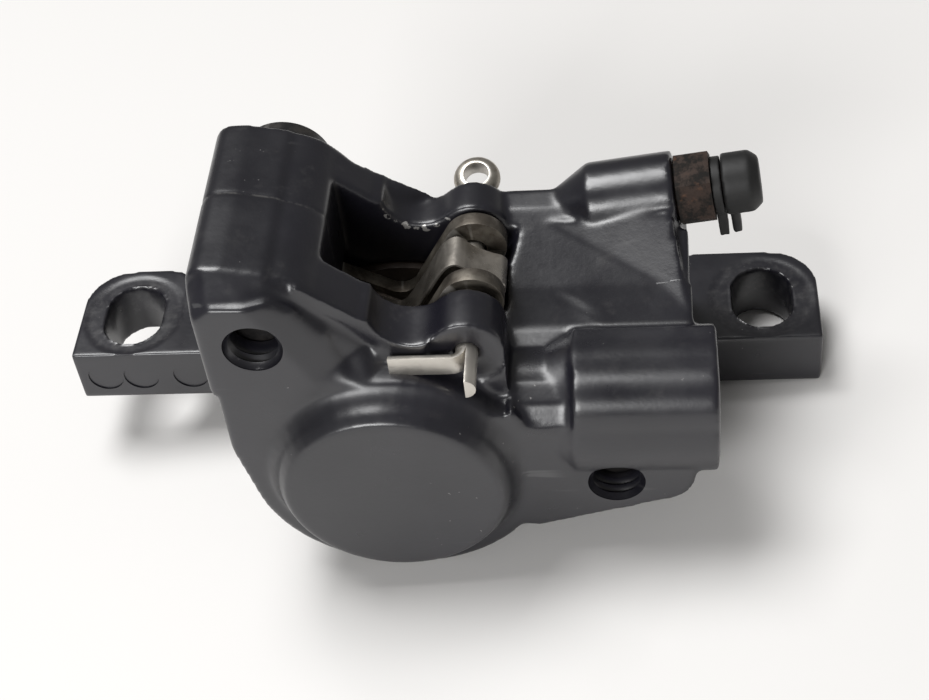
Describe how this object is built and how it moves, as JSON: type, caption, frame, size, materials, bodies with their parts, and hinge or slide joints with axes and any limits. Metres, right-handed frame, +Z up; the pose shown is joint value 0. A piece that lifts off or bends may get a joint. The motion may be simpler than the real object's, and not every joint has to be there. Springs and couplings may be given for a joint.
{
  "type": "disc brake caliper",
  "caption": "Post-mount hydraulic disc brake caliper for a bicycle, a bolted two-piece body with opposed pistons, pads, split pin and bleed nipple.",
  "frame": {"origin": "midway between the two mounting slots of the ears, on the flat underside that the ears seat on", "axes": "+X along the ears towards the hose port, +Y across the disc towards the body bolts' heads, +Z up, along the mounting bolts and away from the seat"},
  "size_m": [0.0872, 0.0398, 0.0426],
  "materials": {
    "caliper_paint": "satin black paint on cast aluminium",
    "bolt_steel": "black oxide",
    "piston_resin": "satin phenolic",
    "seal_rubber": "matte",
    "pad_steel": "dull",
    "lining": "rough",
    "spring_steel": "satin",
    "pin_steel": "satin",
    "rusty_steel": "rough",
    "cap_rubber": "matte"
  },
  "bodies": {
    "caliper_body": {"mount_half": "caliper_paint", "hose_half": "caliper_paint", "upper_body_bolt": "bolt_steel", "lower_body_bolt": "bolt_steel", "mount_side_piston_seal": "seal_rubber", "hose_side_piston_seal": "seal_rubber", "crossover_o_ring": "seal_rubber", "pad_spring": "spring_steel"},
    "mount_piston": {"mount_side_piston": "piston_resin"},
    "hose_piston": {"hose_side_piston": "piston_resin"},
    "mount_pad": {"mount_side_pad_plate": "pad_steel", "mount_side_pad_lining": "lining"},
    "hose_pad": {"hose_side_pad_plate": "pad_steel", "hose_side_pad_lining": "lining"},
    "pin": {"split_pin": "pin_steel"},
    "nipple": {"bleed_nipple": "rusty_steel", "bleed_cap_ring": "cap_rubber"},
    "cap": {"bleed_cap": "cap_rubber"}
  },
  "joints": [
    {"name": "mount_piston_slide", "type": "slide", "parent": "caliper_body", "child": "mount_piston", "axis": [0, -1, 0], "range_m": [0, 0.00115]},
    {"name": "hose_piston_slide", "type": "slide", "parent": "caliper_body", "child": "hose_piston", "axis": [0, 1, 0], "range_m": [0, 0.00115]},
    {"name": "mount_pad_slide", "type": "slide", "parent": "caliper_body", "child": "mount_pad", "axis": [0, -1, 0], "range_m": [0, 0.00115]},
    {"name": "hose_pad_slide", "type": "slide", "parent": "caliper_body", "child": "hose_pad", "axis": [0, 1, 0], "range_m": [0, 0.00115]},
    {"name": "split_pin_turn", "type": "hinge", "parent": "caliper_body", "child": "pin", "pos_m": [0.00583, -0.0144, 0.02628], "axis": [0, 1, 0], "range_deg": [0, 180]},
    {"name": "bleed_nipple_turn", "type": "hinge", "parent": "caliper_body", "child": "nipple", "pos_m": [0.0272, -0.005, 0.0282], "axis": [0.9903, 0, 0.1392], "range_deg": [0, 180]},
    {"name": "bleed_cap_pull", "type": "slide", "parent": "nipple", "child": "cap", "axis": [0.9903, 0, 0.1392], "range_m": [0, 0.006]}
  ],
  "couplings": [
    {"joint": "hose_piston_slide", "follows": "mount_piston_slide", "ratio": 1},
    {"joint": "mount_pad_slide", "follows": "mount_piston_slide", "ratio": 1},
    {"joint": "hose_pad_slide", "follows": "mount_piston_slide", "ratio": 1}
  ]
}
